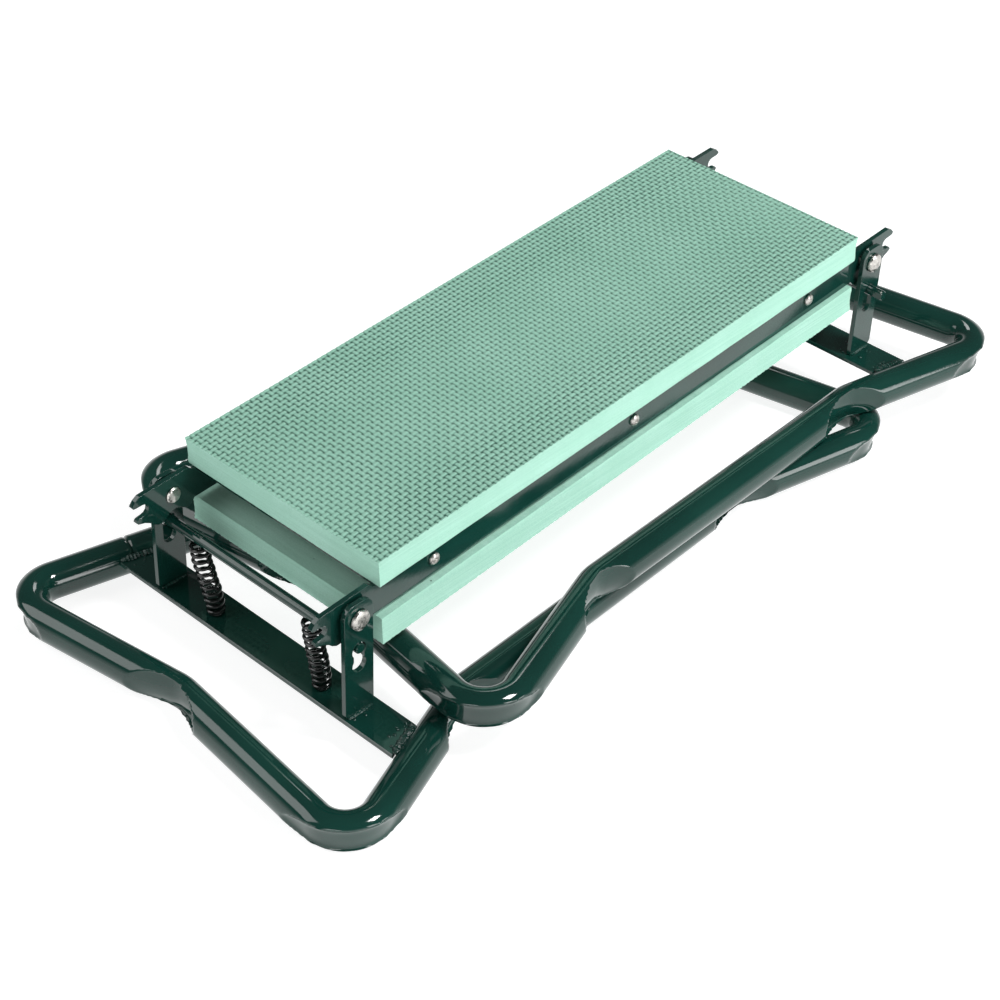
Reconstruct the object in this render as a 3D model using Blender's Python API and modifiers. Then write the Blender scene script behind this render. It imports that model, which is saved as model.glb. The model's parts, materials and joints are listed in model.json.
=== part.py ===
"""Folding garden kneeler seat, folded flat.

A two-sided seat (foam pad above and below two side rails) hangs between two legs.
Each leg is a closed tube loop with a flat cross plate, two upright bars, a release rod
and two springs. The left leg lies on the ground and the right leg lies on the left one,
so the seat leans by one tube diameter over its length.

World: +X along the seat, +Z up, ground at z = 0, x = y = 0 in the middle of the folded
outline, which the two loops set.
"""
import math

import bmesh
import bpy
from mathutils import Matrix, Vector

# ---- overall sizes (metres) ----
PIVOT_SPAN = 0.4416          # between the two pivot axes, along the seat
GAP = 0.0003                 # running gap between neighbouring pieces

# ---- seat ----
PAD_LENGTH = PIVOT_SPAN - 0.0342     # pads end short of the uprights
PAD_WIDTH = 0.1500
PAD_THICKNESS = 0.0175
PAD_EDGE_RADIUS = 0.0012
LOWER_PAD_SAG = 0.0030       # the lower pad's left end hangs this much below the rails
RAIL_OUTER_Y = PAD_WIDTH / 2 - 0.0036    # outer face of each side rail
RAIL_THICKNESS = 0.0030
RAIL_TOP = 0.0084            # above the pivot axis
RAIL_BOTTOM = -0.0103
PLATE_SHEET = 0.0018         # sheet steel carrying the upper pad
PLATE_LIP = 0.0050
PLATE_INSET = 0.0035         # sheet ends behind the pad ends
CORE_INSET = 0.0340          # core board ends behind the pad ends
LOWER_SHEET = 0.0018
SCREW_INSET = 0.0423         # outer screws, behind the pad ends
SCREW_PITCH = PAD_LENGTH / 2 - SCREW_INSET
SCREW_HEAD_RADIUS = 0.0036
SCREW_HEAD_HEIGHT = 0.0019
SCREW_SHANK_RADIUS = 0.0019
SCREW_LENGTH = 0.0160

# ---- uprights ----
UPRIGHT_WIDTH = 0.0204
UPRIGHT_THICKNESS = 0.0030
UPRIGHT_OUTER_Y = RAIL_OUTER_Y + UPRIGHT_THICKNESS + 0.0023      # a washer sits between

# ---- leg loop, in the leg's own plane: (outward from the pivot, half width, bend radius) ----
TUBE_DIAMETER = 0.0216
LOOP_DROP = 0.0706           # tube centre below the pivot axis
LOOP_CORNERS = (
    (0.0531, 0.0000, 0.030),     # dent in the middle of the short end
    (0.0751, UPRIGHT_OUTER_Y + 0.0612, 0.020),                   # short-end corner
    (-0.0450, UPRIGHT_OUTER_Y + 0.0273, 0.030),                  # waist starts
    (0.1456 - PIVOT_SPAN, UPRIGHT_OUTER_Y + 0.0323, 0.030),      # waist ends
    (0.0260 - PIVOT_SPAN, UPRIGHT_OUTER_Y + 0.0703, 0.021),      # long-end corner
    (0.0480 - PIVOT_SPAN, 0.0000, 0.030),                        # dent in its middle
)
LEFT_LOOP_SKEW = math.radians(3.0)   # the left loop is welded slightly out of square
# hand-bent loops: how far a bend sits from its mirror-image place; bends are counted from the
# short end's middle, +y side first
BEND_SHIFTS = {
    "left": {0: (0.0002, -0.0094), 1: (0.0026, 0.0024), 4: (0.0005, -0.0030), 9: (-0.0101, -0.0012)},
    "right": {7: (0.0076, 0.0020), 8: (0.0002, 0.0027), 9: (0.0012, 0.0073)},
}

# ---- cross plate and the uprights' slots ----
CROSS_WIDTH = UPRIGHT_WIDTH + 0.0046
CROSS_CENTRE = -0.0020
CROSS_THICKNESS = 0.0030
CROSS_RISE = 0.0057          # top of the plate above the tube centre
SLOT_TOP = -0.0162           # below the pivot
SLOT_BOTTOM = -0.0356

# ---- pivots, release rod, springs ----
RIVET_HEAD_RADIUS = 0.0067
RIVET_HEAD_HEIGHT = 0.0026
RIVET_SHANK_RADIUS = 0.0039
RIVET_TAIL_RADIUS = 0.0048
RIVET_TAIL_HEIGHT = 0.0018
WASHER_RADIUS = 0.0062
ROD_RADIUS = 0.0031
SLOT_WIDTH = 2 * ROD_RADIUS + 0.0028
ROD_STICK_OUT = 0.0110
ROD_FLUSH_END = 0.0012
SPRING_COIL_RADIUS = 0.0048
SPRING_WIRE_RADIUS = 0.00105
SPRING_TURNS = 12
SPRING_Y = (-0.0410, 0.0485)     # top ends, on the left leg
SPRING_LEAN = (-0.0065, -0.0108)     # foot against top

STACK = TUBE_DIAMETER + GAP
SEAT_TILT = math.asin(STACK / PIVOT_SPAN)
LEFT_PIVOT_Z = TUBE_DIAMETER / 2 + LOOP_DROP
PIVOT_X = 0.5 * PIVOT_SPAN * math.cos(SEAT_TILT)
CROSS_TOP = -LOOP_DROP + CROSS_RISE
ROD_REST = SLOT_TOP - GAP - ROD_RADIUS

GREEN_PAINT = ("dark_green_paint", (0.006, 0.032, 0.024, 1), 0.22, 0.0)
FOAM = ("mint_foam", (0.36, 0.72, 0.55, 1), 0.85, 0.0)
BLACK_STEEL = ("black_spring_steel", (0.012, 0.013, 0.013, 1), 0.28, 0.6)
ZINC = ("zinc_plate", (0.62, 0.60, 0.57, 1), 0.32, 1.0)
BOARD = ("core_board", (0.20, 0.13, 0.07, 1), 0.75, 0.0)


def clear_scene():
    for ob in list(bpy.data.objects):
        bpy.data.objects.remove(ob, do_unlink=True)


def make_collection(name):
    col = bpy.data.collections.new(name)
    bpy.context.scene.collection.children.link(col)
    return col


def material(spec):
    name, colour, roughness, metallic = spec
    mat = bpy.data.materials.get(name) or bpy.data.materials.new(name)
    mat.use_nodes = True
    shader = mat.node_tree.nodes["Principled BSDF"]
    shader.inputs["Base Color"].default_value = colour
    shader.inputs["Roughness"].default_value = roughness
    shader.inputs["Metallic"].default_value = metallic
    return mat


def add_object(name, mesh, spec, parent=None, smooth=True):
    ob = bpy.data.objects.new(name, mesh)
    PARTS.objects.link(ob)
    mesh.materials.clear()
    mesh.materials.append(material(spec))
    if smooth:
        mesh.shade_smooth()
        mesh.set_sharp_from_angle(angle=math.radians(40))
    ob.parent = parent
    return ob


def add_frame(name, location, rotation=(0, 0, 0)):
    frame = bpy.data.objects.new(name, None)
    frame.location = location
    frame.rotation_euler = rotation
    frame.empty_display_size = 0.03
    PARTS.objects.link(frame)
    return frame


def box_mesh(name, low, high):
    low, high = Vector(low), Vector(high)
    bm = bmesh.new()
    bmesh.ops.create_cube(bm, size=1.0)
    bmesh.ops.scale(bm, vec=high - low, verts=bm.verts)
    bmesh.ops.translate(bm, vec=(low + high) / 2, verts=bm.verts)
    mesh = bpy.data.meshes.new(name)
    bm.to_mesh(mesh)
    bm.free()
    return mesh


def cylinder_mesh(name, radius, low_y, high_y, x=0.0, z=0.0, segments=24):
    """Cylinder along Y."""
    bm = bmesh.new()
    bmesh.ops.create_cone(bm, cap_ends=True, segments=segments, radius1=radius,
                          radius2=radius, depth=high_y - low_y)
    bmesh.ops.rotate(bm, cent=(0, 0, 0), verts=bm.verts,
                     matrix=Matrix.Rotation(math.radians(90), 3, "X"))
    bmesh.ops.translate(bm, vec=(x, (low_y + high_y) / 2, z), verts=bm.verts)
    mesh = bpy.data.meshes.new(name)
    bm.to_mesh(mesh)
    bm.free()
    return mesh


def arc(cx, cz, radius, start, end, count):
    """Points on an arc, angles in degrees, both ends included."""
    pts = []
    for i in range(count):
        a = math.radians(start + (end - start) * i / (count - 1))
        pts.append((cx + radius * math.cos(a), cz + radius * math.sin(a)))
    return pts


def slab(name, outline, low_y, high_y, spec, parent):
    """Flat outline in XZ, extruded along Y, as a mesh object."""
    curve = bpy.data.curves.new(name + "_outline", "CURVE")
    curve.dimensions = "2D"
    curve.fill_mode = "BOTH"
    curve.extrude = (high_y - low_y) / 2
    spline = curve.splines.new("POLY")
    spline.points.add(len(outline) - 1)
    for point, (x, z) in zip(spline.points, outline):
        point.co = (x, z, 0, 1)
    spline.use_cyclic_u = True
    raw = bpy.data.objects.new(name + "_curve", curve)
    raw.rotation_euler = (math.radians(90), 0, 0)
    raw.location = (0, (low_y + high_y) / 2, 0)
    bpy.context.scene.collection.objects.link(raw)
    bpy.context.view_layer.update()
    mesh = bpy.data.meshes.new_from_object(raw.evaluated_get(bpy.context.evaluated_depsgraph_get()))
    mesh.transform(raw.matrix_world)
    bpy.data.objects.remove(raw, do_unlink=True)
    mesh = weld(mesh)
    mesh.name = name
    return add_object(name, mesh, spec, parent)


def weld(mesh):
    bm = bmesh.new()
    bm.from_mesh(mesh)
    bmesh.ops.remove_doubles(bm, verts=bm.verts, dist=1e-6)
    bmesh.ops.recalc_face_normals(bm, faces=bm.faces)
    bm.to_mesh(mesh)
    bm.free()
    return mesh


def cut(target, cutter_mesh, name):
    cutter = bpy.data.objects.new(name, cutter_mesh)
    CUTTERS.objects.link(cutter)
    cutter.parent = target.parent
    cutter.hide_render = True
    cutter.display_type = "WIRE"
    mod = target.modifiers.new(name, "BOOLEAN")
    mod.operation = "DIFFERENCE"
    mod.solver = "EXACT"
    mod.object = cutter
    return cutter


def turned(name, profile, parent, location, spec, outward, segments=20):
    """Turned piece: profile of (radius, height) turned about Y, the height growing outward."""
    bm = bmesh.new()
    verts = [bm.verts.new((r, 0, h)) for r, h in profile]
    for a, b in zip(verts, verts[1:]):
        bm.edges.new((a, b))
    bmesh.ops.spin(bm, geom=bm.verts[:] + bm.edges[:], cent=(0, 0, 0), axis=(0, 0, 1),
                   angle=math.radians(360), steps=segments, use_merge=True)
    bmesh.ops.remove_doubles(bm, verts=bm.verts, dist=1e-6)
    bmesh.ops.recalc_face_normals(bm, faces=bm.faces)
    mesh = bpy.data.meshes.new(name)
    bm.to_mesh(mesh)
    bm.free()
    ob = add_object(name, mesh, spec, parent)
    ob.location = location
    ob.rotation_euler = (math.radians(-90 * outward), 0, 0)
    return ob


# ---------------------------------------------------------------- seat
def add_pad(name, low_z, parent, sag=0.0):
    half_x, half_y = PAD_LENGTH / 2, PAD_WIDTH / 2
    mesh = box_mesh(name, (-half_x, -half_y, low_z), (half_x, half_y, low_z + PAD_THICKNESS))
    pad = add_object(name, mesh, FOAM, parent)
    edge = pad.modifiers.new("soft_edges", "BEVEL")
    edge.width = PAD_EDGE_RADIUS
    edge.segments = 2
    pad.location = (0, 0, -sag / 2)
    pad.rotation_euler = (0, -math.asin(sag / PAD_LENGTH), 0)
    return pad


def tab_outline(end):
    """Hooked tab beyond the pad end, about the pivot; end is +1 right, -1 left.

    Points run from the rail's top edge round the hook to its bottom edge."""
    mm = 0.001
    pts = [(-16.0, 8.4), (-12.5, 11.6), (22.0, 11.6), (25.2, 9.8), (27.6, 7.0),
           (27.0, 5.7), (25.2, 5.3)]
    pts += [(x / mm, z / mm) for x, z in arc(20.9 * mm, 1.3 * mm, 3.9 * mm, 90, 270, 7)]
    pts += [(24.0, -2.9), (25.4, -3.4), (26.0, -4.6), (25.0, -6.0), (20.5, -7.6), (16.6, -10.2)]
    pts += [(14.6, -12.4), (11.8, -14.2), (8.8, -14.4)]
    pts += [(x / mm, z / mm) for x, z in arc(0, -17.6 * mm, 7.6 * mm, 40, 140, 6)]
    pts += [(-8.8, -14.2), (-11.6, -13.6), (-14.2, -10.3)]
    return [(end * (PIVOT_SPAN / 2 + x * mm), z * mm) for x, z in pts]


def add_rail(name, side, parent):
    right = tab_outline(1)
    left = list(reversed(tab_outline(-1)))
    outline = right + left
    inner, outer = RAIL_OUTER_Y - RAIL_THICKNESS, RAIL_OUTER_Y
    low, high = sorted((side * inner, side * outer))
    rail = slab(name, outline, low, high, GREEN_PAINT, parent)
    for end in (-1, 1):
        hole = cylinder_mesh("pivot_hole", RIVET_SHANK_RADIUS + 0.00015, low - 0.004, high + 0.004,
                             x=end * PIVOT_SPAN / 2, segments=24)
        cut(rail, hole, f"{name}_pivot_hole_{'r' if end > 0 else 'l'}")
    for i in (-1, 0, 1):
        hole = cylinder_mesh("screw_hole", SCREW_SHANK_RADIUS + GAP, low - 0.004, high + 0.004,
                             x=i * SCREW_PITCH, segments=12)
        cut(rail, hole, f"{name}_screw_hole_{i + 1}")
    return rail


def add_screw(name, x, side, parent):
    r, h, k = SCREW_HEAD_RADIUS, SCREW_HEAD_HEIGHT, SCREW_SHANK_RADIUS
    profile = [(0, -SCREW_LENGTH), (k * 0.5, -SCREW_LENGTH + 0.0012), (k, -SCREW_LENGTH + 0.003),
               (k, 0), (r, 0), (r, 0.35 * h), (0.80 * r, 0.82 * h), (0.45 * r, h), (0, h)]
    return turned(name, profile, parent, (x, side * (RAIL_OUTER_Y + GAP), 0), ZINC, side, 12)


def add_upper_plate(parent):
    x, t = PAD_LENGTH / 2 - PLATE_INSET, PLATE_SHEET
    top = RAIL_TOP - 0.0001
    low = top - PLATE_LIP
    outline = [(-x, top), (-x, low), (-x + t, low), (-x + t, top - t),
               (x - t, top - t), (x - t, low), (x, low), (x, top)]
    y = RAIL_OUTER_Y - RAIL_THICKNESS - GAP
    return slab("upper_plate", outline, -y, y, GREEN_PAINT, parent)


def add_core(parent):
    x = PAD_LENGTH / 2 - CORE_INSET
    y = RAIL_OUTER_Y - RAIL_THICKNESS - GAP
    low = RAIL_BOTTOM + LOWER_SHEET + GAP
    high = RAIL_TOP - 0.0001 - PLATE_SHEET - GAP
    core = add_object("core_board", box_mesh("core_board", (-x, -y, low), (x, y, high)), BOARD, parent)
    for side in (-1, 1):
        for i in (-1, 0, 1):
            low_y, high_y = sorted((side * (y + 0.002), side * (y - SCREW_LENGTH)))
            hole = cylinder_mesh("core_hole", SCREW_SHANK_RADIUS + GAP, low_y, high_y,
                                 x=i * SCREW_PITCH, segments=12)
            cut(core, hole, f"core_hole_{'b' if side > 0 else 'f'}{i + 1}")
    sheet = box_mesh("lower_plate", (-x - 0.012, -y, RAIL_BOTTOM), (x + 0.012, y, RAIL_BOTTOM + LOWER_SHEET))
    add_object("lower_plate", sheet, GREEN_PAINT, parent)


def build_seat(x, y):
    frame = add_frame("seat_frame", (x, y, LEFT_PIVOT_Z + STACK / 2), (0, -SEAT_TILT, 0))
    add_pad("upper_pad", RAIL_TOP + GAP, frame)
    add_pad("lower_pad", RAIL_BOTTOM - GAP - PAD_THICKNESS, frame, LOWER_PAD_SAG)
    add_upper_plate(frame)
    add_core(frame)
    for label, side in (("front", -1), ("back", 1)):
        add_rail(f"{label}_rail", side, frame)
        for i, place in ((-1, "left"), (0, "middle"), (1, "right")):
            add_screw(f"{label}_screw_{place}", i * SCREW_PITCH, side, frame)


# ---------------------------------------------------------------- legs
def rounded_loop(corners, steps_per_bend=5):
    """Closed path through straight runs and circular bends."""
    count, path = len(corners), []
    for i in range(count):
        here = Vector(corners[i][:2])
        back = (Vector(corners[i - 1][:2]) - here).normalized()
        ahead = (Vector(corners[(i + 1) % count][:2]) - here).normalized()
        half = 0.5 * back.angle(ahead)
        radius = corners[i][2]
        reach = radius / math.tan(half)
        centre = here + (back + ahead).normalized() * (radius / math.sin(half))
        start, end = here + back * reach - centre, here + ahead * reach - centre
        turn = start.angle_signed(end)
        steps = max(2, round(steps_per_bend * abs(turn) / math.radians(75)) + 1)
        for k in range(steps + 1):
            a = -turn * k / steps
            path.append(centre + Vector((start.x * math.cos(a) - start.y * math.sin(a),
                                         start.x * math.sin(a) + start.y * math.cos(a))))
    return path


def loop_bends(label):
    bends = list(LOOP_CORNERS) + [(u, -y, r) for u, y, r in reversed(LOOP_CORNERS[1:-1])]
    for i, (du, dy) in BEND_SHIFTS[label].items():
        u, y, r = bends[i]
        bends[i] = (u + du, y + dy, r)
    return bends


def loop_path(label):
    return rounded_loop(loop_bends(label))


def side_line(label, side, skew):
    """The loop's straight side by the cross plate, as (half width at u = 0, slope)."""
    bends = loop_bends(label)
    pair = bends[1:3] if side > 0 else [bends[-1], bends[-2]]
    (u0, y0), (u1, y1) = [skewed(Vector((u, y)), skew) for u, y, _ in pair]
    slope = (y0 - y1) / (u0 - u1)
    return y1 - slope * u1, slope


def skewed(place, skew):
    return Vector((place.x * math.cos(skew) - place.y * math.sin(skew),
                   place.x * math.sin(skew) + place.y * math.cos(skew)))


def outline_centre():
    """Middle of the box round both loops, counted from midway between the pivots."""
    spots = [-skewed(place, LEFT_LOOP_SKEW) - Vector((PIVOT_X, 0)) for place in loop_path("left")]
    spots += [place + Vector((PIVOT_X, 0)) for place in loop_path("right")]
    return [(min(s[k] for s in spots) + max(s[k] for s in spots)) / 2 for k in (0, 1)]


def add_loop(label, skew, parent):
    name = f"{label}_loop"
    curve = bpy.data.curves.new(name + "_path", "CURVE")
    curve.dimensions = "3D"
    curve.bevel_depth = TUBE_DIAMETER / 2
    curve.bevel_resolution = 6
    spline = curve.splines.new("POLY")
    path = loop_path(label)
    spline.points.add(len(path) - 1)
    for point, place in zip(spline.points, path):
        point.co = (*skewed(place, skew), -LOOP_DROP, 1)
    spline.use_cyclic_u = True
    raw = bpy.data.objects.new(name + "_curve", curve)
    bpy.context.scene.collection.objects.link(raw)
    bpy.context.view_layer.update()
    mesh = bpy.data.meshes.new_from_object(raw.evaluated_get(bpy.context.evaluated_depsgraph_get()))
    bpy.data.objects.remove(raw, do_unlink=True)
    mesh.name = name
    return add_object(name, weld(mesh), GREEN_PAINT, parent)


def add_cross_plate(label, skew, parent):
    name = f"{label}_cross_plate"
    low_u, high_u = CROSS_CENTRE - CROSS_WIDTH / 2, CROSS_CENTRE + CROSS_WIDTH / 2
    chord = math.sqrt((TUBE_DIAMETER / 2) ** 2 - (CROSS_RISE - CROSS_THICKNESS) ** 2)
    bm = bmesh.new()
    corners = []
    for side in (-1, 1):
        middle, slope = side_line(label, side, skew)
        reach = chord * math.sqrt(1 + slope ** 2) + GAP
        for u in ((low_u, high_u) if side < 0 else (high_u, low_u)):
            corners.append((u, middle + slope * u - side * reach))
    faces = [bm.faces.new([bm.verts.new((u, y, CROSS_TOP - CROSS_THICKNESS)) for u, y in corners])]
    made = bmesh.ops.extrude_face_region(bm, geom=faces)
    tops = [v for v in made["geom"] if isinstance(v, bmesh.types.BMVert)]
    bmesh.ops.translate(bm, vec=(0, 0, CROSS_THICKNESS), verts=tops)
    bmesh.ops.recalc_face_normals(bm, faces=bm.faces)
    mesh = bpy.data.meshes.new(name)
    bm.to_mesh(mesh)
    bm.free()
    plate = add_object(name, mesh, GREEN_PAINT, parent)
    edge = plate.modifiers.new("edge", "BEVEL")
    edge.width = 0.0004
    edge.segments = 1
    return plate


def slot_outline(double_punch):
    r = SLOT_WIDTH / 2
    top, bottom = SLOT_TOP - r, SLOT_BOTTOM + r
    if not double_punch:
        return arc(0, top, r, 0, 180, 9) + arc(0, bottom, r, 180, 360, 9)
    r2, neck = r * 1.08, SLOT_WIDTH * 0.42
    top, bottom = SLOT_TOP - r2, SLOT_BOTTOM + r2
    lean = math.degrees(math.acos(neck / r2))
    return arc(0, top, r2, -lean, 180 + lean, 12) + arc(0, bottom, r2, 180 - lean, 360 + lean, 12)


def add_upright(name, side, double_punch, parent):
    w, foot = UPRIGHT_WIDTH / 2, CROSS_TOP + GAP
    corner = 0.0070
    outline = [(w - 0.0022, foot), (w, foot + 0.0030)]
    outline += arc(w - corner, w - corner + 0.0004, corner, 0, 90, 6)
    outline += arc(corner - w, w - corner + 0.0004, corner, 90, 180, 6)
    outline += [(-w, foot)]
    low, high = sorted((side * (UPRIGHT_OUTER_Y - UPRIGHT_THICKNESS), side * UPRIGHT_OUTER_Y))
    bar = slab(name, outline, low, high, GREEN_PAINT, parent)
    hole = cylinder_mesh("rivet_hole", RIVET_SHANK_RADIUS + 0.00015, low - 0.003, high + 0.003, segments=24)
    cut(bar, hole, name + "_rivet_hole")
    cutter = slab(name + "_slot_shape", slot_outline(double_punch), low - 0.003, high + 0.003,
                  GREEN_PAINT, parent)
    mesh = cutter.data
    bpy.data.objects.remove(cutter, do_unlink=True)
    cut(bar, mesh, name + "_slot")
    return bar


def add_rivet(name, side, parent):
    grip_out = UPRIGHT_OUTER_Y + GAP
    grip_in = RAIL_OUTER_Y - RAIL_THICKNESS - GAP
    length = grip_out - grip_in
    r, h, k = RIVET_HEAD_RADIUS, RIVET_HEAD_HEIGHT, RIVET_SHANK_RADIUS
    tr, th = RIVET_TAIL_RADIUS, RIVET_TAIL_HEIGHT
    profile = [(0, -length - th), (0.6 * tr, -length - 0.92 * th), (tr, -length - 0.35 * th),
               (tr, -length), (k, -length), (k, 0), (r, 0), (r, 0.3 * h), (0.85 * r, 0.72 * h),
               (0.5 * r, 0.95 * h), (0, h)]
    return turned(name, profile, parent, (0, side * grip_out, 0), ZINC, side, 18)


def add_washer(name, side, parent):
    low, high = RAIL_OUTER_Y + GAP, UPRIGHT_OUTER_Y - UPRIGHT_THICKNESS - GAP
    inner = RIVET_SHANK_RADIUS + 0.00015
    thick = high - low
    profile = [(inner, 0), (WASHER_RADIUS, 0), (WASHER_RADIUS, thick), (inner, thick), (inner, 0)]
    return turned(name, profile, parent, (0, side * low, 0), ZINC, side, 24)


def add_rod(name, parent):
    """Release rod: one end sticks out with a flattened tip, the other is nearly flush."""
    low = -(UPRIGHT_OUTER_Y + ROD_STICK_OUT)
    high = UPRIGHT_OUTER_Y + ROD_FLUSH_END
    rod = add_object(name, cylinder_mesh(name, ROD_RADIUS, low, high, z=ROD_REST, segments=20),
                     GREEN_PAINT, parent)
    edge = rod.modifiers.new("end_chamfer", "BEVEL")
    edge.width = 0.0005
    edge.segments = 1
    edge.limit_method = "ANGLE"
    edge.angle_limit = math.radians(60)
    for side in (-1, 1):
        low_x, high_x = sorted((side * 0.0023, side * 0.0100))
        flat = box_mesh("flat", (low_x, low - 0.002, ROD_REST - 0.01),
                        (high_x, low + 0.0065, ROD_REST + 0.01))
        cut(rod, flat, f"{name}_flat_{'a' if side > 0 else 'b'}")
    return rod


def add_spring(name, top_y, lean, parent):
    low = CROSS_TOP + GAP + SPRING_WIRE_RADIUS
    high = ROD_REST - ROD_RADIUS - GAP - SPRING_WIRE_RADIUS
    per_turn = 7
    count = SPRING_TURNS * per_turn
    curve = bpy.data.curves.new(name + "_path", "CURVE")
    curve.dimensions = "3D"
    curve.bevel_depth = SPRING_WIRE_RADIUS
    curve.bevel_resolution = 1
    curve.use_fill_caps = True
    spline = curve.splines.new("POLY")
    spline.points.add(count)
    for i, point in enumerate(spline.points):
        t = i / count
        rise = min(max((t * SPRING_TURNS - 0.75) / (SPRING_TURNS - 1.5), 0), 1)
        shift = lean * (1 - rise * rise * (3 - 2 * rise))
        turn = 2 * math.pi * i / per_turn
        radius = SPRING_COIL_RADIUS * (0.86 + 0.14 * min(1, 3 * t))
        point.co = (radius * math.cos(turn), top_y + shift + radius * math.sin(turn),
                    low + (high - low) * rise, 1)
    raw = bpy.data.objects.new(name + "_curve", curve)
    bpy.context.scene.collection.objects.link(raw)
    bpy.context.view_layer.update()
    mesh = bpy.data.meshes.new_from_object(raw.evaluated_get(bpy.context.evaluated_depsgraph_get()))
    bpy.data.objects.remove(raw, do_unlink=True)
    mesh.name = name
    return add_object(name, weld(mesh), BLACK_STEEL, parent)


def build_leg(label, x, y, z, turn, skew):
    """A leg is modelled as the right one; the left one is the same leg turned half round."""
    frame = add_frame(f"{label}_leg_frame", (x, y, z), (0, 0, turn))
    add_loop(label, skew, frame)
    add_cross_plate(label, skew, frame)
    for place, side in (("front", -1), ("back", 1)):
        own = side if turn == 0 else -side
        punched_twice = label == "left" and place == "front"
        add_upright(f"{label}_{place}_upright", own, punched_twice, frame)
        add_rivet(f"{label}_{place}_rivet", own, frame)
        add_washer(f"{label}_{place}_washer", own, frame)
    add_rod(f"{label}_rod", frame)
    for top_y, lean, place in zip(SPRING_Y, SPRING_LEAN, ("front", "back")):
        if turn == 0:
            place = "back" if place == "front" else "front"
        add_spring(f"{label}_{place}_spring", -top_y, -lean, frame)


clear_scene()
PARTS = make_collection("garden_kneeler_seat")
CUTTERS = make_collection("cutters")
MIDDLE_X, MIDDLE_Y = outline_centre()
build_seat(-MIDDLE_X, -MIDDLE_Y)
build_leg("left", -PIVOT_X - MIDDLE_X, -MIDDLE_Y, LEFT_PIVOT_Z, math.pi, LEFT_LOOP_SKEW)
build_leg("right", PIVOT_X - MIDDLE_X, -MIDDLE_Y, LEFT_PIVOT_Z + STACK, 0.0, 0.0)
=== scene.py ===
import json
import math
import random

import bmesh
import bpy
import numpy as np
from mathutils import Matrix, Vector, noise

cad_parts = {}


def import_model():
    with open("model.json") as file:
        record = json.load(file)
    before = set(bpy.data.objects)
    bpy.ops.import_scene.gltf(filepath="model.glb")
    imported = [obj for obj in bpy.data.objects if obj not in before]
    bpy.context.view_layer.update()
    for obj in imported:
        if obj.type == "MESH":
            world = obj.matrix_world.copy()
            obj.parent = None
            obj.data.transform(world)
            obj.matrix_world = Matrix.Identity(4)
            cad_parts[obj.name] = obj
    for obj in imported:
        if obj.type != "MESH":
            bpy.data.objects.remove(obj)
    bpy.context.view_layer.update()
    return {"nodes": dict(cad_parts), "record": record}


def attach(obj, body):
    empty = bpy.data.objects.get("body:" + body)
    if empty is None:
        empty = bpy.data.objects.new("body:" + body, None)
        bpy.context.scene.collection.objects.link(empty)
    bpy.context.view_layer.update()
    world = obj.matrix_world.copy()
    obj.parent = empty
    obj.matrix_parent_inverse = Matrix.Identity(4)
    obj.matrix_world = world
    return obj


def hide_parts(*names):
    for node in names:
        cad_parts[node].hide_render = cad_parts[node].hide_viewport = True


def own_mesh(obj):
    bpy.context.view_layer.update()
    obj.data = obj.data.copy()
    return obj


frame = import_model()
NODES = frame["nodes"]
random.seed(7)

# ------------------------------------------------------------------ sizes, as in the CAD
JOINTS = {j["name"]: j for j in frame["record"]["behaviour"]["joints"]}
LEFT_PIVOT = Vector(JOINTS["left_leg_fold"]["pos_m"])
RIGHT_PIVOT = Vector(JOINTS["right_leg_fold"]["pos_m"])
TUBE_RADIUS = 0.0108
LOOP_DROP = 0.0706
LOOP_CORNERS = (
    (0.0531, 0.0000, 0.030),
    (0.0751, 0.1379, 0.020),
    (-0.0450, 0.1040, 0.030),
    (-0.2960, 0.1090, 0.030),
    (-0.4156, 0.1470, 0.021),
    (-0.3936, 0.0000, 0.030),
)
LEFT_LOOP_SKEW = math.radians(3.0)
GAP = 0.0003
RAIL_TOP, RAIL_BOTTOM, RAIL_OUTER_Y, RAIL_THICKNESS = 0.0084, -0.0103, 0.0714, 0.0030
PAD_LENGTH, PAD_WIDTH, PAD_THICKNESS = 0.4074, 0.1500, 0.0175
LOWER_PAD_SAG = 0.0030
BEND_SHIFTS = {
    "left": {0: (0.0002, -0.0094), 1: (0.0026, 0.0024), 4: (0.0005, -0.0030), 9: (-0.0101, -0.0012)},
    "right": {7: (0.0076, 0.0020), 8: (0.0002, 0.0027), 9: (0.0012, 0.0073)},
}
CROSS_TOP = -0.0649
UPRIGHT_OUTER_Y = 0.0767
ROD_RADIUS, ROD_REST = 0.0031, -0.0196
SCREW_PITCH = 0.1614

SEAT_TILT = math.atan2(RIGHT_PIVOT.z - LEFT_PIVOT.z, RIGHT_PIVOT.x - LEFT_PIVOT.x)
SEAT = Matrix.Translation((LEFT_PIVOT + RIGHT_PIVOT) / 2) @ Matrix.Rotation(-SEAT_TILT, 4, "Y")
LEFT_LEG = Matrix.Translation(LEFT_PIVOT) @ Matrix.Rotation(math.pi, 4, "Z")
RIGHT_LEG = Matrix.Translation(RIGHT_PIVOT)


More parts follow.
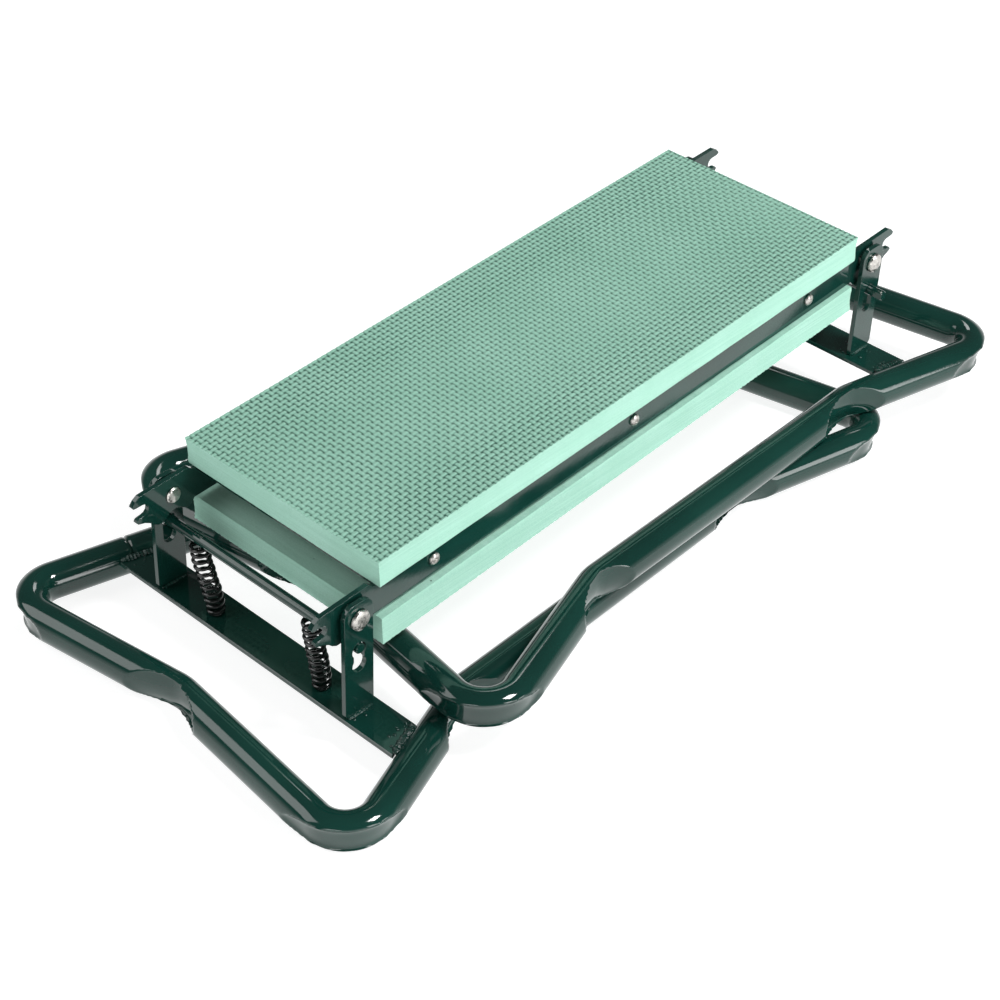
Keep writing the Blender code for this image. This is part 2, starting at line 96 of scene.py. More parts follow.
# ------------------------------------------------------------------ material helpers
class Mat:
    """A node material written as short calls."""

    def __init__(self, name, **values):
        self.mat = bpy.data.materials.new(name)
        self.mat.use_nodes = True
        self.tree = self.mat.node_tree
        self.shader = self.tree.nodes["Principled BSDF"]
        for key, value in values.items():
            self.shader.inputs[key.replace("_", " ")].default_value = value
        self.coord = self.node("ShaderNodeTexCoord").outputs["Object"]

    def node(self, kind, **values):
        n = self.tree.nodes.new(kind)
        for key, value in values.items():
            setattr(n, key, value)
        return n

    def link(self, a, b):
        self.tree.links.new(a, b)

    def scaled(self, scale):
        m = self.node("ShaderNodeMapping")
        m.inputs["Scale"].default_value = scale
        self.link(self.coord, m.inputs["Vector"])
        return m.outputs["Vector"]

    def noise(self, scale, detail=3.0, rough=0.5, vector=None):
        n = self.node("ShaderNodeTexNoise")
        n.inputs["Scale"].default_value = scale
        n.inputs["Detail"].default_value = detail
        n.inputs["Roughness"].default_value = rough
        self.link(vector or self.coord, n.inputs["Vector"])
        return n.outputs["Fac"]

    def spots(self, scale):
        n = self.node("ShaderNodeTexVoronoi")
        n.inputs["Scale"].default_value = scale
        self.link(self.coord, n.inputs["Vector"])
        return n

    def remap(self, value, a, b, low=0.0, high=1.0):
        n = self.node("ShaderNodeMapRange")
        for key, v in (("From Min", a), ("From Max", b), ("To Min", low), ("To Max", high)):
            n.inputs[key].default_value = v
        self.link(value, n.inputs["Value"])
        return n.outputs["Result"]

    def math(self, op, a, b):
        n = self.node("ShaderNodeMath", operation=op)
        for socket, v in zip(n.inputs, (a, b)):
            if isinstance(v, (int, float)):
                socket.default_value = v
            else:
                self.link(v, socket)
        return n.outputs[0]

    def mix(self, fac, a, b):
        n = self.node("ShaderNodeMix", data_type="RGBA")
        for socket, v in ((n.inputs[0], fac), (n.inputs[6], a), (n.inputs[7], b)):
            if isinstance(v, tuple):
                socket.default_value = (*v, 1.0) if len(v) == 3 else v
            elif isinstance(v, (int, float)):
                socket.default_value = v
            else:
                self.link(v, socket)
        return n.outputs[2]

    def colour(self, value):
        self.link(value, self.shader.inputs["Base Color"])

    def rough(self, value):
        self.link(value, self.shader.inputs["Roughness"])

    def bump(self, height, distance, strength=1.0, after=None):
        n = self.node("ShaderNodeBump")
        n.inputs["Distance"].default_value = distance
        n.inputs["Strength"].default_value = strength
        self.link(height, n.inputs["Height"])
        if after:
            self.link(after, n.inputs["Normal"])
        self.link(n.outputs["Normal"], self.shader.inputs["Normal"])
        return n.outputs["Normal"]


def green_paint(name, blistered=False):
    m = Mat(name, Roughness=0.1, IOR=1.55)
    broad = m.noise(14.0, 2.0)
    deep, light = (0.0035, 0.0280, 0.0215), (0.0055, 0.0420, 0.0320)
    m.colour(m.mix(m.remap(broad, 0.35, 0.7), deep, light))
    m.rough(m.remap(m.noise(60.0, 4.0), 0.3, 0.75, 0.055, 0.14))
    peel = m.bump(m.noise(420.0, 2.0, 0.4), 0.00004, 0.35)
    specks = m.spots(150.0)
    dust = m.remap(specks.outputs["Distance"], 0.0, 0.10, 1.0, 0.0)
    rare = m.remap(specks.outputs["Color"], 0.80, 0.82)
    m.bump(m.math("MULTIPLY", dust, rare), 0.00025, 0.8, after=peel)
    if blistered:
        m.bump(m.noise(900.0, 6.0, 0.7), 0.0004, 0.9)
    return m.mat


def foam_sides():
    m = Mat("foam_sawn_edge", Roughness=0.9, Specular_IOR_Level=0.25)
    lines = m.noise(1.0, 4.0, 0.7, m.scaled((9.0, 9.0, 2300.0)))
    grain = m.noise(1100.0, 3.0, 0.6)
    patch = m.noise(35.0, 3.0, 0.55)
    # Painted light: the sawn sides get a lighter mint than the top skin of the same foam, standing in
    # for the front lamps' light on them.
    base = m.mix(m.remap(patch, 0.3, 0.7), (0.365, 0.640, 0.520), (0.420, 0.690, 0.580))
    fleck = m.math("ADD", m.math("MULTIPLY", lines, 0.6), m.math("MULTIPLY", grain, 0.4))
    shade = m.mix(m.remap(fleck, 0.34, 0.60), (0.285, 0.540, 0.430), base)
    # Painted shade: the pores, sunk by the bump below, are painted near-black green inside.
    holes = m.spots(170.0)
    pore = m.remap(holes.outputs["Distance"], 0.05, 0.13, 1.0, 0.0)
    few = m.remap(holes.outputs["Color"], 0.86, 0.88)
    pores = m.math("MULTIPLY", pore, few)
    m.colour(m.mix(pores, shade, (0.02, 0.07, 0.05)))
    first = m.bump(lines, 0.00025, 0.7)
    second = m.bump(grain, 0.00012, 0.7, after=first)
    m.bump(m.math("SUBTRACT", 0.0, pores), 0.0006, 1.0, after=second)
    return m.mat


def foam_skin():
    m = Mat("foam_embossed_skin", Roughness=0.62, Specular_IOR_Level=0.35,
            Sheen_Weight=0.15, Sheen_Roughness=0.5)
    attr = m.node("ShaderNodeAttribute", attribute_name="weave")
    patch = m.noise(18.0, 3.0, 0.55)
    top = m.mix(m.remap(patch, 0.3, 0.7), (0.240, 0.470, 0.365), (0.275, 0.510, 0.405))
    # Painted shade: where the weave height is low, in the recesses between the bars, the skin is
    # painted near-black green.
    m.colour(m.mix(m.remap(attr.outputs["Fac"], 0.05, 0.85), (0.016, 0.085, 0.055), top))
    first = m.bump(m.noise(1500.0, 3.0, 0.6), 0.00006, 0.6)
    m.bump(m.noise(260.0, 2.0, 0.5), 0.0001, 0.4, after=first)
    return m.mat


def zinc():
    tint = (0.70, 0.68, 0.64)
    m = Mat("zinc_plate", Metallic=1.0, Roughness=0.3)
    stain = m.noise(300.0, 4.0, 0.6)
    dark = tuple(c * 0.55 for c in tint)
    m.colour(m.mix(m.remap(stain, 0.35, 0.65), dark, tint))
    m.rough(m.remap(m.noise(700.0, 3.0), 0.3, 0.7, 0.18, 0.42))
    m.bump(m.noise(520.0, 4.0, 0.6), 0.00025, 0.55)
    return m.mat


def spring_black():
    m = Mat("spring_black", Roughness=0.16, IOR=1.5)
    m.colour(m.mix(m.remap(m.noise(90.0), 0.35, 0.7), (0.003, 0.004, 0.004), (0.007, 0.010, 0.009)))
    m.rough(m.remap(m.noise(400.0, 3.0), 0.3, 0.7, 0.08, 0.22))
    m.bump(m.noise(1100.0, 4.0, 0.6), 0.00015, 0.6)
    return m.mat


def board_brown():
    m = Mat("core_board_fibres", Roughness=0.75)
    fibre = m.noise(1.0, 5.0, 0.7, m.scaled((25.0, 400.0, 500.0)))
    m.colour(m.mix(m.remap(fibre, 0.3, 0.7), (0.10, 0.065, 0.035), (0.24, 0.16, 0.09)))
    m.bump(fibre, 0.0002, 0.6)
    return m.mat


PAINT = green_paint("green_gloss_paint")
BLISTERED = green_paint("green_paint_on_welds", blistered=True)
EDGE, SKIN = foam_sides(), foam_skin()
ZINC = zinc()
SPRING, BOARD = spring_black(), board_brown()


# ------------------------------------------------------------------ mesh helpers
def new_piece(name, verts, faces, mats, body, place, nodes=(), angle=35):
    mesh = bpy.data.meshes.new(name)
    mesh.from_pydata([tuple(v) for v in verts], [], faces)
    mesh.update()
    return finish_piece(name, mesh, mats, body, place, nodes, angle)


def finish_piece(name, mesh, mats, body, place, nodes=(), angle=35):
    """Place the mesh, shade it smooth below the angle, and put it on its body."""
    for mat in mats:
        mesh.materials.append(mat)
    mesh.transform(place)
    mesh.shade_smooth()
    mesh.set_sharp_from_angle(angle=math.radians(angle))
    ob = bpy.data.objects.new(name, mesh)
    bpy.context.scene.collection.objects.link(ob)
    bpy.context.view_layer.update()
    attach(ob, body)
    if nodes:
        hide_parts(*nodes)
    return ob


def bridge(rings, closed_path=False, caps=False):
    """Faces between rings of equal size, given as lists of points."""
    count, size = len(rings), len(rings[0])
    verts = [p for ring in rings for p in ring]
    faces = []
    for i in range(count if closed_path else count - 1):
        a, b = i * size, ((i + 1) % count) * size
        for k in range(size):
            n = (k + 1) % size
            faces.append((a + k, a + n, b + n, b + k))
    if caps:
        faces.append(tuple(reversed(range(size))))
        faces.append(tuple(range((count - 1) * size, count * size)))
    return verts, faces


def fix_normals(mesh):
    bm = bmesh.new()
    bm.from_mesh(mesh)
    bmesh.ops.recalc_face_normals(bm, faces=bm.faces)
    bm.to_mesh(mesh)
    bm.free()


# ------------------------------------------------------------------ foam pads
WEAVE = 0.00364            # pitch of the embossed weave
WEAVE_DEPTH = 0.00072
PER_CELL = 5               # mesh faces across one cell of the weave
UNEVENNESS = 0.00015       # slow rise and fall of the skin
EDGE_PULL = 0.0006         # sawn edges draw in at mid height
EDGE_WAVE = 0.00018


def weave_height(u, v):
    """Height 0..1 of a plain weave, u and v counted in cells (numpy arrays)."""
    best = np.zeros_like(u)
    iu, iv = np.floor(u), np.floor(v)
    for du in (-1, 0, 1):
        for dv in (-1, 0, 1):
            cu, cv = iu + du, iv + dv
            a, b = np.abs(u - cu - 0.5), np.abs(v - cv - 0.5)
            along_x = ((cu + cv) % 2) == 0
            long_, wide = np.where(along_x, a, b), np.where(along_x, b, a)
            h = (1 - np.clip(long_ / 0.63, 0, 1) ** 4) * (1 - np.clip(wide / 0.37, 0, 1) ** 3)
            best = np.maximum(best, np.sqrt(np.clip(h, 0, 1)))
    return best


def pad_piece(name, node, low_z, embossed_up, place):
    """Foam slab: embossed skin on one face, plain skin on the other, sawn edges."""
    nx, ny = round(PAD_LENGTH / WEAVE) * PER_CELL, round(PAD_WIDTH / WEAVE) * PER_CELL
    xs = np.linspace(-PAD_LENGTH / 2, PAD_LENGTH / 2, nx + 1)
    ys = np.linspace(-PAD_WIDTH / 2, PAD_WIDTH / 2, ny + 1)
    gx, gy = np.meshgrid(xs, ys, indexing="ij")
    height = weave_height(gx / WEAVE + 0.3, gy / WEAVE + 0.1)
    sign = 1 if embossed_up else -1
    face_z = low_z + PAD_THICKNESS if embossed_up else low_z
    back_z = low_z if embossed_up else low_z + PAD_THICKNESS
    uneven = np.array([[noise.noise(Vector((x * 9, y * 9, 3.1))) for y in ys[::PER_CELL]]
                       for x in xs[::PER_CELL]])
    uneven = np.repeat(np.repeat(uneven, PER_CELL, 0), PER_CELL, 1)[: nx + 1, : ny + 1]
    z = face_z - sign * (WEAVE_DEPTH * (1 - height) + UNEVENNESS * (1 + uneven))
    verts = np.stack([gx, gy, z], -1).reshape(-1, 3)
    index = np.arange((nx + 1) * (ny + 1)).reshape(nx + 1, ny + 1)
    quads = np.stack([index[:-1, :-1], index[1:, :-1], index[1:, 1:], index[:-1, 1:]], -1)
    quads = quads.reshape(-1, 4)
    rim = np.concatenate([index[:, 0], index[-1, 1:], index[-2::-1, -1], index[0, -2:0:-1]])
    rim_xy = verts[rim][:, :2]
    rows, all_verts, faces = 7, [verts], quads.tolist()
    mats = [0] * len(faces)
    previous, start = rim, len(verts)
    centre = rim_xy / np.array([PAD_LENGTH / 2, PAD_WIDTH / 2])
    for row in range(1, rows + 1):
        t = row / rows
        ring_z = face_z + (back_z - face_z) * t
        pull = EDGE_PULL * math.sin(math.pi * t)
        wave = np.array([noise.noise(Vector((x * 40, y * 40, t * 5))) for x, y in rim_xy]) * EDGE_WAVE
        inward = np.clip(centre, -1, 1) ** 7 * (pull + wave[:, None] + (0.0005 if row == rows else 0))
        ring = np.column_stack([rim_xy - inward, np.full(len(rim), ring_z)])
        all_verts.append(ring)
        now = np.arange(start, start + len(rim))
        side = np.stack([previous, np.roll(previous, -1), np.roll(now, -1), now], -1)
        faces += side.tolist()
        mats += [1] * len(rim)
        previous, start = now, start + len(rim)
    faces.append(tuple(int(i) for i in previous))
    mats.append(2)
    mesh = bpy.data.meshes.new(name)
    mesh.from_pydata(np.concatenate(all_verts).tolist(), [], faces)
    mesh.polygons.foreach_set("material_index", mats)
    # The weave height is also read by the skin material, which paints shade into the weave's
    # recesses.
    weave = mesh.attributes.new("weave", "FLOAT", "POINT")
    values = np.ones(sum(len(v) for v in all_verts))
    values[: len(verts)] = height.reshape(-1)
    weave.data.foreach_set("value", values)
    fix_normals(mesh)
    pad = finish_piece(name, mesh, [SKIN, EDGE, EDGE], "seat", place, [node], angle=50)
    return pad


SAGGED = (SEAT @ Matrix.Translation((0, 0, -LOWER_PAD_SAG / 2))
          @ Matrix.Rotation(-math.asin(LOWER_PAD_SAG / PAD_LENGTH), 4, "Y"))
pad_piece("upper_foam", "upper_pad", RAIL_TOP + GAP, True, SEAT)
pad_piece("lower_foam", "lower_pad", RAIL_BOTTOM - GAP - PAD_THICKNESS, False, SAGGED)


# ------------------------------------------------------------------ tube loops
def loop_bends(label):
    bends = list(LOOP_CORNERS) + [(u, -y, r) for u, y, r in reversed(LOOP_CORNERS[1:-1])]
    for i, (du, dy) in BEND_SHIFTS[label].items():
        u, y, r = bends[i]
        bends[i] = (u + du, y + dy, r)
    return bends


def loop_stations(label):
    """Places along the loop with the distance travelled, each bend's middle, and whether it is
    a corner (True) or a kinked reverse bend."""
    bends = loop_bends(label)
    count = len(bends)
    places, marks, travelled, arcs = [], [], 0.0, []
    for i in range(count):
        here = Vector(bends[i][:2])
        back = (Vector(bends[i - 1][:2]) - here).normalized()
        ahead = (Vector(bends[(i + 1) % count][:2]) - here).normalized()
        half = 0.5 * back.angle(ahead)
        radius = bends[i][2]
        reach = radius / math.tan(half)
        centre = here + (back + ahead).normalized() * (radius / math.sin(half))
        start, end = here + back * reach, here + ahead * reach
        arcs.append((centre, start, end, radius, (start - centre).angle_signed(end - centre)))
    for i, (centre, start, end, radius, turn) in enumerate(arcs):
        length = radius * abs(turn)
        steps = max(8, round(length / 0.0011))
        marks.append(travelled + length / 2)
        for k in range(steps):
            a = -turn * k / steps
            arm = start - centre
            spot = centre + Vector((arm.x * math.cos(a) - arm.y * math.sin(a),
                                    arm.x * math.sin(a) + arm.y * math.cos(a)))
            places.append((spot, travelled + length * k / steps))
        travelled += length
        after = arcs[(i + 1) % count][1]
        run = (after - end).length
        steps = max(2, round(run / 0.0013))
        for k in range(steps):
            places.append((end.lerp(after, k / steps), travelled + run * k / steps))
        travelled += run
    return places, marks, travelled, [turn < 0 for *_, turn in arcs]


CORNER_DENT_DEPTH, CORNER_DENT_LENGTH, CORNER_DENT_LEAD = 0.0056, 0.062, 0.034
CORNER_DENT_SPREAD = math.radians(52)
BOWL_DEPTH, BOWL_LENGTH, BOWL_SLANT = 0.0098, 0.058, 0.017
BOWL_SPREAD = math.radians(80)
BOWL_LEAD = {1: 0.020, -1: 0.011}    # by the side of the bend that the bowl lies on
SEAM_DEPTH = SEAM_HALF_WIDTH = 0.0011
DENT_REACH = 0.075                   # no dent reaches further than this from its bend


def eye(a, length, head, tail):
    """Eye-shaped profile along a dent: quick rise at the head, slow fade to the tail."""
    t = a / length
    if t <= 0 or t >= 1:
        return 0.0
    top = head / (head + tail)
    return (t / top) ** head * ((1 - t) / (1 - top)) ** tail


def dent(angle, along, corner, flip):
    """Depth of a bend's dent. The angle runs round the tube, 0 outward and positive upward."""
    along = along * flip
    out = max(0.0, math.cos(angle))
    if corner:                       # outer wall pressed in round a corner
        size = eye(along + CORNER_DENT_LEAD, CORNER_DENT_LENGTH, 0.55, 0.45)
        width = CORNER_DENT_SPREAD * max(0.02, size) ** 0.8
        across = abs(angle + math.radians(10)) / width
        return CORNER_DENT_DEPTH * size * max(0.0, 1 - across * across) ** 0.75
    # bowl beside a kink, its lip slanting back on the outside
    size = eye(along + BOWL_LEAD[flip] + BOWL_SLANT * out, BOWL_LENGTH, 0.33, 0.80)
    width = BOWL_SPREAD * max(0.02, size) ** 0.75
    across = abs(angle + math.radians(2)) / width
    return BOWL_DEPTH * size * max(0.0, 1 - across * across) ** 0.80


def loop_piece(label, place, skew, flips, seam=None):
    """Bent tube. flips gives the side of each bend's dent where it isn't 1. seam is a bend's
    number and the distance from its middle to the tube's joint."""
    places, marks, total, corner = loop_stations(label)
    around, rings = 64, []
    spots = [p for p, _ in places]
    cs, sn = math.cos(skew), math.sin(skew)
    for i, (spot, travelled) in enumerate(places):
        tangent = (spots[(i + 1) % len(spots)] - spots[i - 1]).normalized()
        outward = Vector((tangent.y, -tangent.x))
        gaps = [(travelled - m + total / 2) % total - total / 2 for m in marks]
        close = [b for b, gap in enumerate(gaps) if abs(gap) < DENT_REACH]
        on_seam = seam and abs(travelled - marks[seam[0]] - seam[1]) < SEAM_HALF_WIDTH
        radius = TUBE_RADIUS - (SEAM_DEPTH if on_seam else 0.0)
        ring = []
        for k in range(around):
            angle = 2 * math.pi * k / around
            signed = (angle + math.pi) % (2 * math.pi) - math.pi
            depth = max([dent(signed, gaps[b], corner[b], flips.get(b, 1)) for b in close] or [0.0])
            flat = spot + outward * (radius * math.cos(angle) - depth)
            up = radius * math.sin(angle) * (1 - 6.0 * depth * max(0.0, math.cos(angle)))
            ring.append((flat.x * cs - flat.y * sn, flat.x * sn + flat.y * cs, up - LOOP_DROP))
        rings.append(ring)
    verts, faces = bridge(rings, closed_path=True)
    mesh = bpy.data.meshes.new(f"{label}_tube_loop")
    mesh.from_pydata(verts, [], faces)
    fix_normals(mesh)
    return finish_piece(f"{label}_tube_loop", mesh, [PAINT], f"{label}_leg",
                        place, [f"{label}_loop"], angle=80)


# bends are counted from the short end's middle; the left leg is turned half round
loop_piece("left", LEFT_LEG, LEFT_LOOP_SKEW, {0: -1, 7: -1, 8: -1}, seam=(9, -0.0665))
loop_piece("right", RIGHT_LEG, 0.0, {})


# ------------------------------------------------------------------ springs
SPRING_WIRE, SPRING_COIL, SPRING_TURNS = 0.00105, 0.0048, 12
SPRINGS = ((0.0410, 0.0065, "front"), (-0.0485, 0.0108, "back"))   # y, lean, place on the left leg


def spring_piece(name, body, place, top_y, lean):
    """Coil from the cross plate to the rod. lean is how far its foot stands off its top."""
    wire, coil, turns = SPRING_WIRE, SPRING_COIL, SPRING_TURNS
    low = CROSS_TOP + GAP + wire
    high = ROD_REST - ROD_RADIUS - GAP - wire
    steps, rings = turns * 26, []
    line = []
    for i in range(steps + 1):
        t = i / steps
        rise = min(max((t * turns - 0.75) / (turns - 1.5), 0), 1)
        shift = lean * (1 - rise * rise * (3 - 2 * rise))
        turn = 2 * math.pi * turns * t
        radius = coil * (0.86 + 0.14 * min(1, 3 * t))
        wobble = 0.0002 * math.sin(turn * 0.37 + top_y * 900)
        line.append(Vector((radius * math.cos(turn) + wobble, top_y + shift + radius * math.sin(turn),
                            low + (high - low) * rise)))
    for i, spot in enumerate(line):
        tangent = (line[min(i + 1, steps)] - line[max(i - 1, 0)]).normalized()
        side = tangent.cross(Vector((0, 0, 1))).normalized()
        up = side.cross(tangent)
        rings.append([tuple(spot + side * wire * math.cos(a) + up * wire * math.sin(a))
                      for a in (2 * math.pi * k / 10 for k in range(10))])
    verts, faces = bridge(rings, caps=True)
    ob = new_piece(name, verts, faces, [SPRING], body, place,
                   [name.replace("coil", "spring")])
    fix_normals(ob.data)
    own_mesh(ob)
    return ob


for label, leg in (("left", LEFT_LEG), ("right", RIGHT_LEG)):
    for top_y, lean, place in SPRINGS:
        if label == "right":         # the left leg is turned half round, the right one isn't
            place = "back" if place == "front" else "front"
        spring_piece(f"{label}_{place}_coil", f"{label}_leg", leg, top_y, lean)


# ------------------------------------------------------------------ turned hardware
def lathe(name, profile, body, place, nodes, mat, segments=40, rough=0.0):
    """Profile of (radius, height) turned about +Z of place."""
    rings = []
    for r, h in profile:
        ring = []
        for k in range(segments):
            a = 2 * math.pi * k / segments
            spot = Vector((math.cos(a) * r * 700, math.sin(a) * r * 700, h * 900))
            jitter = rough * noise.noise(spot)
            ring.append((max(r, 1e-5) * math.cos(a), max(r, 1e-5) * math.sin(a), h + jitter))
        rings.append(ring)
    verts, faces = bridge(rings, caps=True)
    ob = new_piece(name, verts, faces, [mat], body, place, nodes, angle=28)
    fix_normals(ob.data)
    return ob


def facing(frame_matrix, x, y, side):
    """Frame at x, y whose Z points out of the front (side -1) or the back (side 1)."""
    turn = Matrix.Rotation(math.radians(-90 * side), 4, "X")
    return frame_matrix @ Matrix.Translation((x, y, 0)) @ turn


def rivet_profile():
    length = UPRIGHT_OUTER_Y + GAP - (RAIL_OUTER_Y - RAIL_THICKNESS - GAP)
    head = [(0.0039, 0), (0.0058, 0), (0.0061, 0.0003), (0.0061, 0.0011), (0.0057, 0.0019),
            (0.0048, 0.0024), (0.0034, 0.0026), (0.0018, 0.0026), (0.0, 0.0026)]
    tail = [(0.0, -length - 0.0018), (0.0026, -length - 0.0017), (0.0042, -length - 0.0012),
            (0.0048, -length - 0.0004), (0.0047, -length), (0.0039, -length)]
    return tail + head


def screw_profile():
    shank = [(0.0, -0.0160), (0.0010, -0.0148), (0.0019, -0.0130), (0.0019, 0.0)]
    head = [(0.0034, 0.0), (0.0036, 0.0002), (0.0035, 0.0009), (0.0030, 0.0015), (0.0020, 0.0019),
            (0.0011, 0.0019), (0.0008, 0.0012), (0.0, 0.0012)]
    return shank + head


for label, leg in (("left", LEFT_LEG), ("right", RIGHT_LEG)):
    for place, side in (("front", -1), ("back", 1)):
        own = side if label == "right" else -side
        lathe(f"{label}_{place}_pivot_rivet", rivet_profile(), f"{label}_leg",
              facing(leg, 0, own * (UPRIGHT_OUTER_Y + GAP), own),
              [f"{label}_{place}_rivet"], ZINC, rough=0.00025)
for label, side in (("front", -1), ("back", 1)):
    for i, place in ((-1, "left"), (0, "middle"), (1, "right")):
        lathe(f"{label}_rail_screw_{place}", screw_profile(), "seat",
              facing(SEAT, i * SCREW_PITCH, side * (RAIL_OUTER_Y + GAP), side),
              [f"{label}_screw_{place}"], ZINC, segments=28, rough=0.00008)


# ------------------------------------------------------------------ welds
def weld_bead(name, a, b, size, body, seed, place):
    """Lumpy bead laid between two points in the leg's frame."""
    a, b = Vector(a), Vector(b)
    along = (b - a).normalized()
    side = along.cross(Vector((0, 0, 1))).normalized()
    up = side.cross(along)
    count = max(6, int((b - a).length / 0.0007))
    rings = []
    for i in range(count + 1):
        t = i / count
        spot = a.lerp(b, t)
        ripple = 1 + 0.18 * math.sin(t * (b - a).length / 0.0021 * 2 * math.pi)
        end = math.sqrt(max(0.02, 1 - (2 * t - 1) ** 6))
        ring = []
        for k in range(12):
            ang = 2 * math.pi * k / 12
            bump = 1 + 0.35 * noise.noise(Vector((spot.x * 420 + seed, spot.y * 420, ang)))
            r = size * ripple * end * bump
            ring.append(tuple(spot + side * r * math.cos(ang) + up * r * 0.75 * math.sin(ang)))
        rings.append(ring)
    verts, faces = bridge(rings, caps=True)
    ob = new_piece(name, verts, faces, [BLISTERED], body, place)
    fix_normals(ob.data)
    return ob


def side_line(label, side, skew):
    """Y at x = 0 and slope of the tube's middle line beside the cross plate."""
    bends = loop_bends(label)
    pair = bends[1:3] if side > 0 else [bends[-1], bends[-2]]
    ends = [(u * math.cos(skew) - y * math.sin(skew), u * math.sin(skew) + y * math.cos(skew))
            for u, y, _ in pair]
    (u0, y0), (u1, y1) = ends
    slope = (y0 - y1) / (u0 - u1)
    return y1 - slope * u1, slope


def spatter(name, spots, body, place):
    """Drops of weld metal, one small lumpy ball each, merged into one mesh."""
    verts, faces = [], []
    for x, y, z, r in spots:
        start, rings = len(verts), 5
        squash = 0.55 + 0.3 * random.random()
        for i in range(rings + 1):
            lat = math.pi * i / rings
            for k in range(9):
                lon = 2 * math.pi * k / 9
                flat = r * math.sin(lat)
                verts.append((x + flat * math.cos(lon), y + flat * math.sin(lon),
                              z + r * squash * math.cos(lat)))
        for i in range(rings):
            for k in range(9):
                n = (k + 1) % 9
                a, b = start + i * 9, start + (i + 1) * 9
                faces.append((a + k, b + k, b + n, a + n))
    ob = new_piece(name, verts, faces, [BLISTERED], body, place)
    bm = bmesh.new()
    bm.from_mesh(ob.data)
    bmesh.ops.remove_doubles(bm, verts=bm.verts, dist=0.00003)
    bmesh.ops.recalc_face_normals(bm, faces=bm.faces)
    bm.to_mesh(ob.data)
    bm.free()


for label, leg, skew in (("left", LEFT_LEG, LEFT_LOOP_SKEW), ("right", RIGHT_LEG, 0.0)):
    drops = []
    for side in (-1, 1):
        middle, slope = side_line(label, side, skew)
        reach = 0.0103 * math.sqrt(1 + slope * slope)
        ends = [(u, middle + slope * u - side * reach, CROSS_TOP + 0.0004) for u in (-0.0135, 0.0095)]
        weld_bead(f"{label}_plate_weld_{'a' if side < 0 else 'b'}", *ends, 0.0023, f"{label}_leg",
                  11 + side, leg)
        for edge, y in (("in", 0.0735), ("out", 0.0769)):
            weld_bead(f"{label}_foot_weld_{edge}_{'a' if side < 0 else 'b'}",
                      (-0.0092, side * y, CROSS_TOP + 0.0005), (0.0085, side * y, CROSS_TOP + 0.0005),
                      0.0012, f"{label}_leg", 31 + side * 3 + y * 1000, leg)
        for _ in range(16):
            u = random.uniform(-0.013, 0.009)
            drops.append((u, middle + slope * u - side * (reach + abs(random.gauss(0.0015, 0.0035))),
                          CROSS_TOP + 0.0001, random.uniform(0.0004, 0.0011)))
        for _ in range(12):
            drops.append((random.uniform(-0.012, 0.009), side * (0.0752 + random.gauss(0, 0.0045)),
                          CROSS_TOP + 0.0001, random.uniform(0.0003, 0.0009)))
    spatter(f"{label}_weld_spatter", drops, f"{label}_leg", leg)


# ------------------------------------------------------------------ carried-over CAD nodes
EDGE_ROUND = 0.0004


def dress(name, mat, bevel=None):
    ob = NODES[name]
    ob.data.materials.clear()
    ob.data.materials.append(mat)
    if bevel:
        weld = ob.modifiers.new("weld", "WELD")
        weld.merge_threshold = 0.00002
        edge = ob.modifiers.new("edge", "BEVEL")
        edge.width, edge.segments = bevel, 2
        edge.limit_method, edge.angle_limit = "ANGLE", math.radians(40)
        edge.harden_normals = True


for name in ("front_rail", "back_rail"):
    dress(name, PAINT, EDGE_ROUND)
for label in ("left", "right"):
    dress(f"{label}_cross_plate", PAINT)
    dress(f"{label}_rod", PAINT)
    for place in ("front", "back"):
        dress(f"{label}_{place}_upright", PAINT, EDGE_ROUND)
        dress(f"{label}_{place}_washer", ZINC)
for name in ("upper_plate", "lower_plate"):
    dress(name, PAINT)
dress("core_board", BOARD)


# ------------------------------------------------------------------ floor, light, camera
FLOOR_REACH, FLOOR_DROP = 30.0, 0.0004     # the floor lies a little below the tubes
CAMERA_SCALE = 0.97
CAMERA_AZIMUTH, CAMERA_ELEVATION, CAMERA_ROLL = map(math.radians, (-46.6123, 39.9872, -0.265))
CAMERA_DISTANCE, CAMERA_AIM = 1.2099, Vector((-0.1297, -0.0887, 0))
CAMERA_LENS, CAMERA_SENSOR = 80.817516, 36


def floor():
    mesh = bpy.data.meshes.new("floor")
    s = FLOOR_REACH
    mesh.from_pydata([(-s, -s, 0), (s, -s, 0), (s, s, 0), (-s, s, 0)], [], [(0, 1, 2, 3)])
    m = Mat("pale_floor", Base_Color=(0.35, 0.35, 0.35, 1), Roughness=0.9)
    m.shader.inputs["Emission Color"].default_value = (1, 1, 1, 1)
    m.shader.inputs["Emission Strength"].default_value = 0.86
    mesh.materials.append(m.mat)
    ob = bpy.data.objects.new("floor", mesh)
    ob.location.z = -FLOOR_DROP
    bpy.context.scene.collection.objects.link(ob)


def area(name, place, aim, size, power):
    light = bpy.data.lights.new(name, "AREA")
    light.shape, light.size, light.size_y, light.energy = "RECTANGLE", *size, power
    ob = bpy.data.objects.new(name, light)
    ob.location = place
    ob.rotation_euler = (Vector(aim) - Vector(place)).to_track_quat("-Z", "Y").to_euler()
    bpy.context.scene.collection.objects.link(ob)


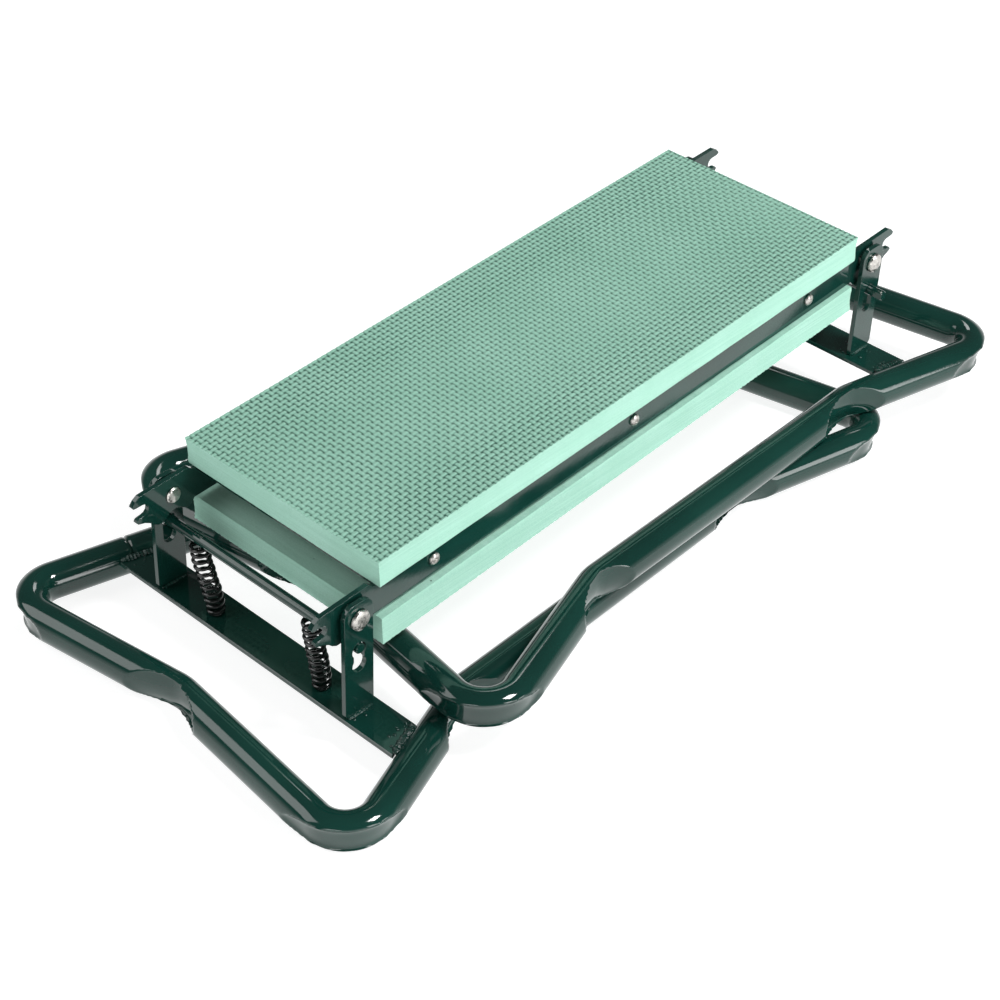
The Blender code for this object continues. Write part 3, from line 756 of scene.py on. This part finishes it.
def world():
    w = bpy.data.worlds.new("studio")
    bpy.context.scene.world = w
    w.use_nodes = True
    tree = w.node_tree
    back = tree.nodes["Background"]
    coord = tree.nodes.new("ShaderNodeTexCoord")
    split = tree.nodes.new("ShaderNodeSeparateXYZ")
    ramp = tree.nodes.new("ShaderNodeValToRGB")
    ramp.color_ramp.elements[0].position = 0.06
    ramp.color_ramp.elements[0].color = (1.0, 1.0, 1.0, 1)
    ramp.color_ramp.elements[1].position = 0.30
    ramp.color_ramp.elements[1].color = (0.10, 0.10, 0.10, 1)
    tree.links.new(coord.outputs["Generated"], split.inputs[0])
    tree.links.new(split.outputs["Z"], ramp.inputs["Fac"])
    tree.links.new(ramp.outputs["Color"], back.inputs["Color"])
    back.inputs["Strength"].default_value = 0.9


def camera():
    """Camera solved in the seat's own frame, whose origin here is the middle of the pad's top."""
    a, e = CAMERA_AZIMUTH, CAMERA_ELEVATION
    back = Vector((math.sin(a) * math.cos(e), -math.cos(a) * math.cos(e), math.sin(e)))
    right = (-back).cross(Vector((0, 0, 1))).normalized()
    up = right.cross(-back)
    c, s = math.cos(CAMERA_ROLL), math.sin(CAMERA_ROLL)
    right, up = c * right + s * up, c * up - s * right
    local = Matrix((right, up, back)).transposed().to_4x4()
    local.translation = (CAMERA_AIM + back * CAMERA_DISTANCE) * CAMERA_SCALE
    cam = bpy.data.cameras.new("camera")
    cam.lens, cam.sensor_width = CAMERA_LENS, CAMERA_SENSOR
    cam.clip_start, cam.clip_end = 0.05, 100
    ob = bpy.data.objects.new("camera", cam)
    ob.matrix_world = SEAT @ Matrix.Translation((0, 0, RAIL_TOP + GAP + PAD_THICKNESS)) @ local
    bpy.context.scene.collection.objects.link(ob)
    bpy.context.scene.camera = ob


floor()
world()
camera()
area("key_box", (0.50, -1.03, 1.95), (-0.05, 0, 0.05), (0.5, 0.5), 37)
area("front_box", (0.4, -2.3, 0.75), (0, 0, 0.05), (1.7, 0.8), 27.5)
area("back_right_box", (1.25, 1.05, 1.40), (0.2, 0, 0.05), (0.45, 0.45), 3.4)
area("back_left_box", (-1.3, 1.2, 1.45), (-0.2, 0, 0.05), (1.5, 1.1), 15)
area("left_box", (-2.2, -1.0, 0.7), (-0.2, 0, 0.05), (1.0, 0.6), 9)
bpy.context.scene.view_settings.view_transform = "Standard"
bpy.context.scene.view_settings.look = "None"
